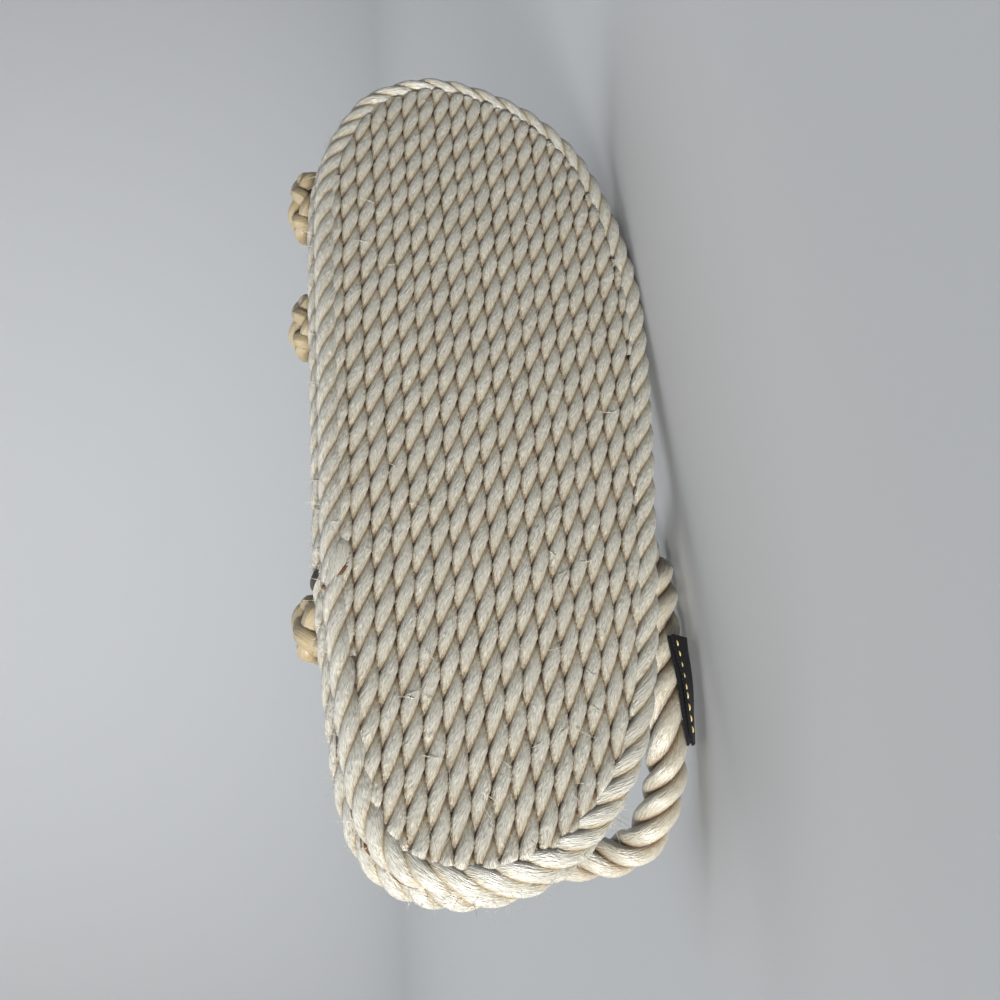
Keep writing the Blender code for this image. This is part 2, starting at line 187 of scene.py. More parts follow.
def rope_finish(name, crest, flank, groove, pit, roughness, sheen, bump, streaks, ior=2.2):
    """Glossy rope yarn: fine fibres along the rope, with painted shade that makes it darker and warmer down
    in the grooves.
    """
    made = bpy.data.materials.new(name)
    made.use_nodes = True
    nodes, links = made.node_tree.nodes, made.node_tree.links
    skin = nodes["Principled BSDF"]
    skin.inputs["IOR"].default_value = ior
    skin.inputs["Sheen Weight"].default_value = sheen
    skin.inputs["Sheen Roughness"].default_value = 0.35
    skin.inputs["Coat Weight"].default_value = 0.18
    skin.inputs["Coat Roughness"].default_value = 0.28

    # Painted shade: the groove attribute moves the colour from crest through flank and groove to pit, darker
    # towards the hollows.
    depth = nodes.new("ShaderNodeAttribute")
    depth.attribute_name = "groove"
    shade = nodes.new("ShaderNodeValToRGB")
    stops = shade.color_ramp.elements
    stops[0].position, stops[0].color = 0.0, (*crest, 1.0)
    stops[1].position, stops[1].color = 1.0, (*pit, 1.0)
    for position, colour in ((0.42, flank), (0.74, groove)):
        stop = stops.new(position)
        stop.color = (*colour, 1.0)
    links.new(depth.outputs["Fac"], shade.inputs["Fac"])

    run = nodes.new("ShaderNodeUVMap")
    run.uv_map = "run"
    fibre_noises = []
    for across, along, detail in ((3.4, 0.60, 3.0), (1.5, 0.22, 2.0)):
        stretch = nodes.new("ShaderNodeMapping")
        stretch.inputs["Scale"].default_value = (across, along, 1.0)
        fibres = nodes.new("ShaderNodeTexNoise")
        fibres.inputs["Scale"].default_value = 1.0
        fibres.inputs["Detail"].default_value = detail
        links.new(run.outputs["UV"], stretch.inputs["Vector"])
        links.new(stretch.outputs["Vector"], fibres.inputs["Vector"])
        fibre_noises.append(fibres)
    fine, yarns = fibre_noises

    place = nodes.new("ShaderNodeTexCoord")
    wear = nodes.new("ShaderNodeTexNoise")
    wear.inputs["Scale"].default_value = 130.0
    wear.inputs["Detail"].default_value = 3.0
    links.new(place.outputs["Object"], wear.inputs["Vector"])
    wear_range = nodes.new("ShaderNodeMapRange")
    wear_range.inputs["From Min"].default_value = 0.35
    wear_range.inputs["From Max"].default_value = 0.75
    wear_range.inputs["To Min"].default_value = 1.0
    wear_range.inputs["To Max"].default_value = 0.86
    links.new(wear.outputs["Fac"], wear_range.inputs["Value"])

    streak_range = nodes.new("ShaderNodeMapRange")
    streak_range.inputs["From Min"].default_value = 0.30
    streak_range.inputs["From Max"].default_value = 0.70
    streak_range.inputs["To Min"].default_value = 1.0 - streaks
    streak_range.inputs["To Max"].default_value = 1.0 + streaks * 0.4
    links.new(fine.outputs["Fac"], streak_range.inputs["Value"])
    tone = nodes.new("ShaderNodeMath")
    tone.operation = "MULTIPLY"
    links.new(wear_range.outputs["Result"], tone.inputs[0])
    links.new(streak_range.outputs["Result"], tone.inputs[1])
    coloured = nodes.new("ShaderNodeVectorMath")
    coloured.operation = "SCALE"
    links.new(shade.outputs["Color"], coloured.inputs["Vector"])
    links.new(tone.outputs["Value"], coloured.inputs["Scale"])
    links.new(coloured.outputs["Vector"], skin.inputs["Base Color"])

    gloss = nodes.new("ShaderNodeMapRange")
    gloss.inputs["From Min"].default_value = 0.3
    gloss.inputs["From Max"].default_value = 0.7
    gloss.inputs["To Min"].default_value = roughness - 0.08
    gloss.inputs["To Max"].default_value = roughness + 0.10
    links.new(fine.outputs["Fac"], gloss.inputs["Value"])
    links.new(gloss.outputs["Result"], skin.inputs["Roughness"])

    both = nodes.new("ShaderNodeMath")
    both.operation = "MULTIPLY_ADD"
    both.inputs[1].default_value = 0.9
    links.new(yarns.outputs["Fac"], both.inputs[0])
    links.new(fine.outputs["Fac"], both.inputs[2])
    relief = nodes.new("ShaderNodeBump")
    relief.inputs["Strength"].default_value = bump
    relief.inputs["Distance"].default_value = 0.0006
    links.new(both.outputs["Value"], relief.inputs["Height"])
    links.new(relief.outputs["Normal"], skin.inputs["Normal"])
    return made


def lay_strands(line, across, rise, width, height, twist, offset,
                points=STRAND_POINTS, share=GROOVE_SHARE):
    """The three strands of a laid rope, each as a grid of places, fibre marks, painted groove shade and turn.

    The line runs through the rope's middle. Across and rise are its two cross directions, and
    twist is how far the lay has turned at each place of the line. The marks are in millimetres
    across and along the fibres, and the offset gives each rope its own fibres."""
    travelled = np.concatenate(([0.0], np.cumsum(np.linalg.norm(np.diff(line, axis=0), axis=1))))
    from_crest = np.linspace(-math.pi / 3, math.pi / 3, points)
    edge = np.abs(from_crest) / (math.pi / 3)
    plump = 1 - share * edge ** STRAND_PLUMPNESS
    width = np.broadcast_to(width, len(line))[:, None]
    height = np.broadcast_to(height, len(line))[:, None]
    strands = []
    for strand in range(3):
        turn = twist[:, None] + strand * 2 * math.pi / 3 + from_crest[None, :]
        sideways = width / 2 * plump * np.cos(turn)
        lift = height / 2 * plump * np.sin(turn)
        places = line[:, None] + across[:, None] * sideways[..., None] + rise[:, None] * lift[..., None]
        fibre_turn = turn - FIBRE_LEAN * twist[:, None]
        marks = np.stack((fibre_turn * width * 500 + offset + strand * 7.3,
                          np.broadcast_to(travelled[:, None] * 1000 + strand * 31.0, turn.shape)), axis=-1)
        # Painted shade: darker towards each strand's edges, where it meets the groove.
        groove = np.broadcast_to(GROOVE_PAINTED_SHADE * edge ** GROOVE_SHARPNESS, turn.shape)
        strands.append([places, marks, groove, turn])
    return strands


def rope_piece(name, strands, finish, slot, *replaced):
    """One named piece from strands. Faces whose corners are marked as hidden are left out."""
    corners, marks, grooves, faces = [], [], [], []
    start = 0
    for places, fibre, groove, shown in strands:
        rings, points = places.shape[:2]
        number = start + np.arange(rings * points).reshape(rings, points)
        quads = np.stack((number[:-1, :-1], number[:-1, 1:], number[1:, 1:], number[1:, :-1]), axis=-1)
        keep = shown[:-1, :-1] | shown[:-1, 1:] | shown[1:, 1:] | shown[1:, :-1]
        faces.append(quads[keep])
        corners.append(places.reshape(-1, 3))
        marks.append(fibre.reshape(-1, 2))
        grooves.append(np.broadcast_to(groove, (rings, points)).reshape(-1))
        start += rings * points
    corners = np.concatenate(corners) @ SHOE_TURN.T + SHOE_PLACE
    marks, grooves, faces = np.concatenate(marks), np.concatenate(grooves), np.concatenate(faces)
    used = np.zeros(len(corners), dtype=bool)
    used[faces.reshape(-1)] = True
    renumber = np.cumsum(used) - 1
    corners, marks, grooves, faces = corners[used], marks[used], grooves[used], renumber[faces]
    data = bpy.data.meshes.new(name)
    data.from_pydata(corners.tolist(), [], faces.tolist())
    corner_marks = marks[faces.reshape(-1)].astype(np.float32)
    data.uv_layers.new(name="run").uv.foreach_set("vector", corner_marks.ravel())
    data.attributes.new("groove", "FLOAT", "POINT").data.foreach_set("value", grooves.astype(np.float32))
    data.shade_smooth()
    data.materials.append(finish)
    piece = bpy.data.objects.new(name, data)
    bpy.context.scene.collection.objects.link(piece)
    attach(piece, "root")
    if replaced:
        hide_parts(*replaced)


def smooth_line(points, step):
    """Evenly spaced places along a smooth curve through the given points, ends included."""
    points = np.array(points, dtype=float)
    before = np.vstack((2 * points[0] - points[1], points[:-1]))
    after = np.vstack((points[1:], 2 * points[-1] - points[-2]))
    dense = []
    for k in range(len(points) - 1):
        first, start, end, last = before[k], points[k], points[k + 1], after[k + 1]
        for t in np.linspace(0, 1, CURVE_POINTS, endpoint=False):
            dense.append(0.5 * (2 * start + (end - first) * t
                                + (2 * first - 5 * start + 4 * end - last) * t ** 2
                                + (3 * start - first - 3 * end + last) * t ** 3))
    dense = np.array(dense + [points[-1]])
    travelled = np.concatenate(([0.0], np.cumsum(np.linalg.norm(np.diff(dense, axis=0), axis=1))))
    wanted = np.linspace(0, travelled[-1], max(3, round(travelled[-1] / step)) + 1)
    return np.column_stack([np.interp(wanted, travelled, dense[:, axis]) for axis in range(3)])


def course_edge(node):
    """Outer edge of a course as a closed run of (x, z) in even steps, from its border solid."""
    corners = np.array([tuple(vertex.co) for vertex in frame["nodes"][node].data.vertices])
    flat = ((corners - SHOE_PLACE) @ SHOE_TURN)[:, (0, 2)]
    hull = flat[convex_hull_2d([Vector(point) for point in flat])]
    closed = np.vstack((hull, hull[:1]))
    travelled = np.concatenate(([0.0], np.cumsum(np.linalg.norm(np.diff(closed, axis=0), axis=1))))
    count = round(travelled[-1] / EDGE_STEP)
    even = np.linspace(0, travelled[-1], count, endpoint=False)
    edge = np.column_stack([np.interp(even, travelled, closed[:, axis]) for axis in range(2)])
    reach = round(2 * EDGE_SOFTNESS)
    span = np.arange(-reach, reach + 1)
    soft = np.exp(-(span / EDGE_SOFTNESS) ** 2)
    soft /= soft.sum()
    return sum(share * np.roll(edge, -shift, axis=0) for shift, share in zip(span, soft))


def moved_in(edge, inset):
    """The closed edge moved in towards the middle of the sole."""
    along = np.roll(edge, -2, axis=0) - np.roll(edge, 2, axis=0)
    along /= np.linalg.norm(along, axis=1)[:, None]
    outward = np.column_stack((along[:, 1], -along[:, 0]))
    if np.sum(outward * (edge - edge.mean(axis=0))) < 0:
        outward = -outward
    return edge - outward * inset


def waver(chance, places, paces):
    """A slow random wave along a rope: one sine for each pace."""
    return sum(chance.uniform(-1, 1) * np.sin(places * pace + chance.uniform(0, 6.3)) for pace in paces)


def lay_rows(node, middle, facing, seed):
    """All rows of a course that show from one side: facing is -1 for the tread, 1 for the footbed."""
    chance = np.random.default_rng(seed)
    edge = course_edge(node)
    field = moved_in(edge, BORDER_WIDTH - ROW_TUCK)
    ahead = np.roll(field, -1, axis=0)
    rows = []
    first = math.floor((field[:, 1].min() - ROW_START) / ROW_PITCH)
    last = math.ceil((field[:, 1].max() - ROW_START) / ROW_PITCH)
    for row in range(first, last + 1):
        side = ROW_START + (row + 0.5) * ROW_PITCH
        crossed = (field[:, 1] - side) * (ahead[:, 1] - side) <= 0
        crossings = field[crossed, 0]
        if len(crossings) < 2:
            continue
        heel, toe = crossings.min(), crossings.max()
        if toe - heel < SHORTEST_ROW:
            continue
        count = max(8, round((toe - heel) / ROW_STEP))
        x = np.linspace(heel, toe, count + 1)
        wander = waver(chance, x, (35, 80, 170))
        slack = waver(chance, x, (30, 75, 140))
        from_end = np.minimum(x - heel, toe - x)
        line = np.column_stack((x, np.full(len(x), middle), side + wander * ROW_WANDER))
        crest = -ROW_ADVANCE * row * STRAND_PITCH + chance.normal(0, LAY_SCATTER) + slack * LAY_SLACK
        twist = 2 * math.pi * (x - crest) / (3 * STRAND_PITCH) + facing * math.pi / 2
        across = np.tile((0.0, 0.0, -1.0), (len(x), 1))
        rise = np.tile((0.0, 1.0, 0.0), (len(x), 1))
        width = ROW_WIDTH * (1 + ROW_SWELL * wander) * np.clip(END_WIDTH + from_end / END_REACH, 0, 1)
        strands = lay_strands(line, across, rise, width, COURSE_HEIGHT, twist, row * 23.7)
        for places, marks, groove, turn in strands:
            sideways = places[..., 2] - line[:, None, 2]
            places[..., 2] = line[:, None, 2] + np.clip(sideways, -ROW_PRESS, ROW_PRESS)
            lift = (places[..., 1] - line[:, None, 1]) / (COURSE_HEIGHT / 2)
            lift = np.sign(lift) * np.abs(lift) ** ROW_FLATNESS
            places[..., 1] = line[:, None, 1] + lift * COURSE_HEIGHT / 2
            # Painted shade where rows press together, darker towards the boundary between two rows.
            pressed = np.clip(np.abs(sideways) / (ROW_PITCH / 2) - PRESSED_START, 0, 0.5)
            pressed /= 1 - PRESSED_START
            groove = np.clip(groove + PRESSED_PAINTED_SHADE * pressed ** 2, 0, 1)
            from_edge = places[..., (0, 2)].reshape(-1, 1, 2) - edge[None]
            inset = np.hypot(from_edge[..., 0], from_edge[..., 1]).min(axis=1).reshape(groove.shape)
            sink = np.clip((SINK_START - inset) / SINK_REACH, 0, 1) ** 1.4
            places[..., 1] -= facing * sink * SINK_DEPTH
            rows.append([places, marks, groove, facing * np.sin(turn) > HIDDEN_TURN])
    return rows


# The cream crest is the rope's own colour; the flank, groove and pit colours are painted shade for the
# hollows.
sole_rope = rope_finish("sole_rope", (0.61, 0.585, 0.51), (0.54, 0.49, 0.375), (0.36, 0.265, 0.14),
                        (0.18, 0.082, 0.032), roughness=0.39, sheen=0.12, bump=1.0, streaks=0.44)
rope_piece("tread_rows", lay_rows("outsole_border", COURSE_HEIGHT / 2, -1, 11),
           sole_rope, "sole_rope", "outsole_rows")

# Tread border. One thicker rope of the same make runs round the rows, flattened to a rounded
# strip, and holds their ends.
BORDER_LAY = 0.0285
BORDER_GROOVE = 0.29
JOINT_PLACE = (0.096, 0.045)
HEEL_SPREAD = 0.0018
HEEL_SPREAD_REACH = 0.060
BORDER_RIPPLE = 0.25


def lay_border(node, base, seed):
    """The border rope of a course along the course's edge, with its start at the inner waist."""
    chance = np.random.default_rng(seed)
    edge = course_edge(node)
    spread = HEEL_SPREAD * np.clip(1 - edge[:, 0] / HEEL_SPREAD_REACH, 0, 1)
    edge = moved_in(edge, ((BORDER_WIDTH + spread) / 2)[:, None])
    start = np.argmin(np.hypot(edge[:, 0] - JOINT_PLACE[0], edge[:, 1] - JOINT_PLACE[1]))
    width = BORDER_WIDTH + np.roll(spread, -start)
    width = np.append(width, width[0])
    edge = np.roll(edge, -start, axis=0)
    edge = np.vstack((edge, edge[:1]))
    line = np.column_stack((edge[:, 0], np.full(len(edge), base + COURSE_HEIGHT / 2), edge[:, 1]))
    along = np.gradient(line, axis=0)
    along[0] = along[-1] = line[1] - line[-2]
    along /= np.linalg.norm(along, axis=1)[:, None]
    rise = np.tile((0.0, 1.0, 0.0), (len(line), 1))
    across = np.cross(rise, along)
    once_round = np.linspace(0, 2 * math.pi, len(line))
    lays = round(len(line) * EDGE_STEP / BORDER_LAY)
    ripple = BORDER_RIPPLE * waver(chance, once_round, (3, 5, 9, 14))
    twist = lays * once_round + ripple - ripple[0]
    strands = []
    for places, marks, groove, turn in lay_strands(line, across, rise, width, COURSE_HEIGHT, twist, seed,
                                                   points=9, share=BORDER_GROOVE):
        strands.append([places, marks, groove, np.ones(turn.shape, dtype=bool)])
    return strands


rope_piece("tread_border", lay_border("outsole_border", 0.0, 21), sole_rope, "sole_rope", "outsole_border")

# Footbed. The upper course is made as the lower one, with its rows raised to the foot. It reaches a
# little past the tread along the inner side and the heel.
rope_piece("footbed_field", lay_rows("footbed_border", FOOTBED_BASE + COURSE_HEIGHT / 2, 1, 12),
           sole_rope, "sole_rope", "footbed_rows")
rope_piece("footbed_edge", lay_border("footbed_border", FOOTBED_BASE, 22),
           sole_rope, "sole_rope", "footbed_border")

# Glue bed. The two courses are stuck together with clear amber glue. The layer between them is coloured dark
# amber brown as painted shade, which fills the hollows between the ropes and darkens the pits where four
# strands meet.
GLUE_SHADE_LEVELS = (0.0029, 0.0098)
GLUE_SHADE_INSET = 0.0023


def spread_glue_and_shade(edge, levels):
    """A flat layer with a top and an underside, inside the course's edge."""
    rim = moved_in(edge, GLUE_SHADE_INSET)[::4]
    middle = rim.mean(axis=0)
    rim = np.vstack((rim, rim[:1]))
    rings = []
    for share, level in ((0.0, levels[0]), (1.0, levels[0]), (1.0, levels[1]), (0.0, levels[1])):
        flat = middle + (rim - middle) * share
        rings.append(np.column_stack((flat[:, 0], np.full(len(flat), level), flat[:, 1])))
    places = np.array(rings)
    size = places.shape[:2]
    # The layer's colour, 0.9 on the groove ramp, is painted shade seen through the gaps between the rows.
    return [[places, places[..., (0, 2)] * 1000, np.full(size, 0.9), np.ones(size, dtype=bool)]]


rope_piece("glue_and_shade_bed", spread_glue_and_shade(course_edge("outsole_border"), GLUE_SHADE_LEVELS), sole_rope, "sole_rope")

# Border joint. The tread border's ends meet at the inner waist: one tapered strand end is laid over
# the other and stuck down, and a stub of dark yarn is tucked in behind it.
# Columns: distance from the heel, inset from the course's edge, level above the tread.
STRAND_END = (
    (0.0998, 0.0068, 0.0016),
    (0.0960, 0.0062, 0.0010),
    (0.0915, 0.0046, 0.0009),
    (0.0870, 0.0028, 0.0011),
    (0.0832, 0.0012, 0.0022),
)
STRAND_END_RADIUS = 0.0025
STRAND_END_FLATNESS = 0.52
YARN_STUB = (
    (0.0945, 0.0030, 0.0085),
    (0.0905, -0.0004, 0.0090),
    (0.0868, -0.0016, 0.0100),
)
YARN_STUB_RADIUS = 0.0020


def beside_edge(edge, stations):
    """Places on the inner side of a course from their distances along, in from the edge and up."""
    places = []
    for x, inset, level in stations:
        line = moved_in(edge, inset)
        nearest = np.argmin(np.abs(line[:, 0] - x) + (line[:, 1] < 0))
        places.append((x, level, line[nearest, 1]))
    return np.array(places)


def tapered(line, radius, flatness, sides, seed, groove):
    """One closed-ended strand along a line, with a radius for each place."""
    along = np.gradient(line, axis=0)
    along /= np.linalg.norm(along, axis=1)[:, None]
    outward = np.tile((0.0, 1.0, 0.05), (len(line), 1))
    outward -= along * np.sum(outward * along, axis=1)[:, None]
    outward /= np.linalg.norm(outward, axis=1)[:, None]
    sideways = np.cross(along, outward)
    turn = np.linspace(0, 2 * math.pi, sides + 1)
    places = (line[:, None] + outward[:, None] * (flatness * radius[:, None] * np.cos(turn))[..., None]
              + sideways[:, None] * (radius[:, None] * np.sin(turn))[..., None])
    travelled = np.concatenate(([0.0], np.cumsum(np.linalg.norm(np.diff(line, axis=0), axis=1)))) * 1000
    marks = np.stack((turn * radius.max() * 1000 + seed + travelled[:, None] * 0.3,
                      np.broadcast_to(travelled[:, None], places.shape[:2])), axis=-1)
    return [places, marks, np.full(places.shape[:2], groove), np.ones(places.shape[:2], dtype=bool)]


tread_edge = course_edge("outsole_border")
end_line = smooth_line(beside_edge(tread_edge, STRAND_END), 0.0008)
end_share = np.linspace(0, 1, len(end_line))
end_radius = STRAND_END_RADIUS * np.sin(math.pi * np.clip(end_share, 0.015, 0.985) ** 0.75) ** 0.7
end_strand = tapered(end_line, end_radius, STRAND_END_FLATNESS, 16, 5.0, 0.12)
rope_piece("strand_end", [end_strand], sole_rope, "sole_rope")
stub_line = smooth_line(beside_edge(tread_edge, YARN_STUB), 0.0006)
stub_radius = YARN_STUB_RADIUS * np.sqrt(np.clip(1.03 - np.linspace(0, 1, len(stub_line)) ** 4, 0.03, 1))
old_yarn = rope_finish("old_yarn", (0.060, 0.050, 0.040), (0.045, 0.036, 0.028), (0.025, 0.018, 0.012),
                       (0.010, 0.007, 0.004), roughness=0.75, sheen=0.10, bump=1.0, streaks=0.5, ior=1.45)
rope_piece("yarn_stub", [tapered(stub_line, stub_radius, 1.0, 12, 9.0, 0.3)], old_yarn, "sole_rope")

# Glue specks. A little of the glue has come out beside the strand end and between the two courses at
# the heel, where it has set as small amber to dark brown beads.
# Columns: distance from the heel, inset from the tread's edge, level, length, radius, slant inward.
GLUE_BEADS = (
    (0.0887, 0.0056, 0.0007, 0.0064, 0.0007, 0.85),
    (0.0945, 0.0078, 0.0009, 0.0050, 0.0005, -0.35),
    (0.0846, 0.0006, 0.0020, 0.0016, 0.0008, 0.0),
    (0.0240, 0.0012, 0.0062, 0.0030, 0.0008, 0.0),
    (0.0158, 0.0012, 0.0063, 0.0034, 0.0010, 0.0),
    (0.0075, 0.0014, 0.0062, 0.0036, 0.0010, 0.0),
    (0.0420, 0.0014, 0.0063, 0.0020, 0.0006, 0.0),
    (0.1300, 0.0014, 0.0062, 0.0018, 0.0005, 0.0),
)
GLUE_BEAD_FLATNESS = 0.7


def glue_finish():
    """Set amber glue: glossy, lumpy, and brown where it is thick or dirty."""
    made = bpy.data.materials.new("amber_glue")
    made.use_nodes = True
    nodes, links = made.node_tree.nodes, made.node_tree.links
    resin = nodes["Principled BSDF"]
    resin.inputs["Roughness"].default_value = 0.30
    resin.inputs["Coat Weight"].default_value = 0.3
    place = nodes.new("ShaderNodeTexCoord")
    lumps = nodes.new("ShaderNodeTexNoise")
    lumps.inputs["Scale"].default_value = 420.0
    lumps.inputs["Detail"].default_value = 3.0
    links.new(place.outputs["Object"], lumps.inputs["Vector"])
    tone = nodes.new("ShaderNodeValToRGB")
    tone.color_ramp.elements[0].position = 0.36
    tone.color_ramp.elements[0].color = (0.05, 0.022, 0.008, 1.0)
    tone.color_ramp.elements[1].position = 0.66
    tone.color_ramp.elements[1].color = (0.17, 0.080, 0.024, 1.0)
    links.new(lumps.outputs["Fac"], tone.inputs["Fac"])
    links.new(tone.outputs["Color"], resin.inputs["Base Color"])
    relief = nodes.new("ShaderNodeBump")
    relief.inputs["Strength"].default_value = 0.6
    relief.inputs["Distance"].default_value = 0.0003
    links.new(lumps.outputs["Fac"], relief.inputs["Height"])
    links.new(relief.outputs["Normal"], resin.inputs["Normal"])
    return made


beads = []
for x, inset, level, length, radius, slant in GLUE_BEADS:
    stations = [(x + length * share, inset + slant * length * share, level) for share in (-0.5, 0, 0.5)]
    bead_line = smooth_line(beside_edge(tread_edge, stations), 0.0004)
    bead_share = np.linspace(-0.99, 0.99, len(bead_line))
    bead_radius = radius * np.sqrt(1 - bead_share ** 2)
    beads.append(tapered(bead_line, bead_radius, GLUE_BEAD_FLATNESS, 10, 0.0, 0.0))
rope_piece("glue_beads", beads, glue_finish(), "sole_rope")

# Loose fibres. Fine ends of yarn have come free along both borders, most of all at the heel and beside
# the joint, and a few lie flat on the tread.
EDGE_FIBRES = 190
TREAD_FIBRES = 70
FIBRE_RADIUS = 0.00010
FIBRE_LENGTHS = (0.002, 0.0065)
TREAD_SPOTS = (0.004, 0.030)
EDGE_LEVELS = (0.001, 0.0115)
FLOOR_SIDE = -0.028
FRAY_CHANCE = 0.30
# Where the edge is frayed most: distance from the heel and reach.
FRAYED = ((0.010, 0.05), (0.092, 0.02))


def fray(count, seed, lying):
    """Thin curved fibres: those on the borders stand out from the edge, the rest lie on the rows."""
    chance = np.random.default_rng(seed)
    outer = moved_in(tread_edge, 0.0004)
    inner = moved_in(tread_edge, 0.004)
    fibres = []
    while len(fibres) < count:
        place = chance.integers(len(outer))
        frayed = sum(math.exp(-((outer[place, 0] - middle) / reach) ** 2) for middle, reach in FRAYED)
        chosen = chance.uniform() < FRAY_CHANCE + frayed
        out = outer[place] - inner[place]
        out /= np.linalg.norm(out)
        heading = chance.uniform(-1, 1, 3)
        length = chance.uniform(*FIBRE_LENGTHS)
        spot = chance.uniform(*TREAD_SPOTS)
        if not chosen or (not lying and outer[place, 1] < FLOOR_SIDE):
            continue
        if lying:
            start = np.array((outer[place, 0] - out[0] * spot, -0.00005, outer[place, 1] - out[1] * spot))
            aim = np.array((heading[0], -0.03, heading[2]))
        else:
            level = EDGE_LEVELS[0] + (EDGE_LEVELS[1] - EDGE_LEVELS[0]) * spot / TREAD_SPOTS[1]
            start = np.array((outer[place, 0], level, outer[place, 1]))
            aim = np.array((out[0] + heading[0] * 0.9, heading[1] * 0.5, out[1] + heading[2] * 0.9))
        aim /= np.linalg.norm(aim)
        bow = np.cross(aim, (0.0, 1.0, 0.0)) * chance.uniform(-0.4, 0.4)
        share = np.linspace(0, 1, 6)
        line = start + length * (share[:, None] * aim + (share ** 2)[:, None] * bow)
        fibres.append(tapered(line, FIBRE_RADIUS * (1.1 - 0.8 * share), 1.0, 4, 0.0, 0.1))
    return fibres


rope_piece("loose_fibres", fray(EDGE_FIBRES, 31, False) + fray(TREAD_FIBRES, 32, True),
           sole_rope, "sole_rope")

# Straps. Two thick three-strand ropes cross over the forefoot, and a third runs slack behind the
# heel. Each leaves its knot on the inner edge and goes down into the footbed by the outer edge.
STRAP_ROPE = 0.0124
STRAP_LAY = 0.0305
STRAP_GROOVE = 0.36
STRAP_STEP = 0.0012
# How unevenly the lay turns: swing and pace of each wave along the rope.
STRAP_RIPPLES = ((0.22, 95), (0.15, 210))
# Places on each rope's middle line, in millimetres along the shoe's own axes.
TOE_STRAP = (
    (235.2, 29.5, 41.5), (235.2, 32.5, 39.0), (231.8, 38.1, 38.8), (226.8, 55.4, 29.6),
    (216.7, 65.6, 13.3), (205.5, 66.7, -5.1), (193.2, 60.8, -23.5), (182.0, 48.9, -40.8),
    (174.4, 35.4, -50.0), (171.6, 26.2, -50.0), (170.8, 16.9, -44.6), (170.8, 13.0, -44.6),
)
BALL_STRAP = (
    (184.8, 29.2, 41.8), (184.8, 32.2, 39.4), (184.8, 40.2, 38.8), (188.2, 50.5, 27.5),
    (194.9, 54.8, 11.2), (202.7, 54.8, -6.1), (210.6, 51.6, -23.5), (217.3, 43.5, -40.3),
    (221.5, 33.8, -49.0), (222.3, 25.7, -48.4), (222.0, 16.9, -40.7), (222.0, 13.0, -40.7),
)
HEEL_STRAP = (
    (112.0, 13.0, -38.7), (112.0, 16.9, -38.7), (109.8, 23.1, -43.9), (103.3, 23.5, -50.0),
    (94.1, 21.1, -52.0), (77.3, 22.3, -51.0), (54.6, 25.9, -50.0), (35.8, 33.5, -49.4),
    (21.3, 43.1, -42.3), (19.0, 49.9, -27.0), (22.4, 55.1, -2.0), (31.4, 55.1, 16.3),
    (45.9, 51.1, 29.6), (63.3, 47.1, 36.2), (75.3, 42.3, 38.2), (80.6, 31.8, 39.7),
    (80.6, 28.8, 42.2),
)


def run_strap(route, seed):
    """A round rope along a route, with its lay turning evenly and its cross directions carried along."""
    line = smooth_line(np.array(route) / 1000, STRAP_STEP)
    along = np.gradient(line, axis=0)
    along /= np.linalg.norm(along, axis=1)[:, None]
    across = np.zeros_like(line)
    side = np.array(Vector(along[0]).orthogonal().normalized())
    for k, direction in enumerate(along):
        side = side - direction * side.dot(direction)
        side /= np.linalg.norm(side)
        across[k] = side
    rise = np.cross(along, across)
    travelled = np.concatenate(([0.0], np.cumsum(np.linalg.norm(np.diff(line, axis=0), axis=1))))
    twist = 2 * math.pi * travelled / STRAP_LAY
    for number, (swing, pace) in enumerate(STRAP_RIPPLES):
        twist += swing * np.sin(travelled * pace + seed * (number + 1))
    strands = []
    for places, marks, groove, turn in lay_strands(line, across, rise, STRAP_ROPE, STRAP_ROPE, twist, seed,
                                                   points=13, share=STRAP_GROOVE):
        # Painted shade: the strap's grooves are shaded 1.4 times as strongly as the sole's.
        strands.append([places, marks, np.clip(groove * 1.4, 0, 1), np.ones(turn.shape, dtype=bool)])
    return strands


# The strap rope is darker and browner than the sole rope: partly its own colour, partly painted shade for the
# straps, which stand in shade. Its flank, groove and pit colours are painted shade in the hollows.
strap_rope = rope_finish("strap_rope", (0.47, 0.435, 0.345), (0.38, 0.32, 0.22), (0.21, 0.14, 0.065),
                         (0.085, 0.045, 0.018), roughness=0.42, sheen=0.15, bump=0.90, streaks=0.26)
rope_piece("cross_straps", run_strap(TOE_STRAP, 3.0) + run_strap(BALL_STRAP, 57.0),
           strap_rope, "strap_rope", "upper")
rope_piece("heel_strap_rope", run_strap(HEEL_STRAP, 91.0), strap_rope, "strap_rope", "heel_strap")

# Label. A short black woven tape is folded along one edge and sewn flat to the heel strap's outer
# side. It is left blank, with only a gold thread in a running stitch along its open edge.
LABEL_START = 0.0748
LABEL_LENGTH = 0.030
LABEL_WIDTH = 0.0070
LABEL_THICKNESS = 0.0022
LABEL_STEP = 0.00075
LABEL_LIFT = STRAP_ROPE / 2 - 0.0002
TAPE_THICKNESS = 0.0007
LABEL_TURN = (math.radians(58), math.radians(24))
STITCHES = 9
STITCH_RADIUS = 0.00028
STITCH_RISE = 0.00022
STITCH_STEPS = 2.6
STITCH_SIDE = 0.37


def label_frame():
    """Places under the label along the strap, with the label's width and outward directions."""
    line = smooth_line(np.array(HEEL_STRAP) / 1000, LABEL_STEP)
    first = int(np.argmax(line[:, 0] <= LABEL_START))
    last = first + round(LABEL_LENGTH / LABEL_STEP)
    along = np.gradient(line, axis=0)[first:last + 1]
    along /= np.linalg.norm(along, axis=1)[:, None]
    turn = np.linspace(LABEL_TURN[0], LABEL_TURN[1], len(along))
    facing = np.column_stack((np.zeros_like(turn), -np.sin(turn), -np.cos(turn)))
    facing -= along * np.sum(facing * along, axis=1)[:, None]
    facing /= np.linalg.norm(facing, axis=1)[:, None]
    return line[first:last + 1], along, np.cross(along, facing), facing


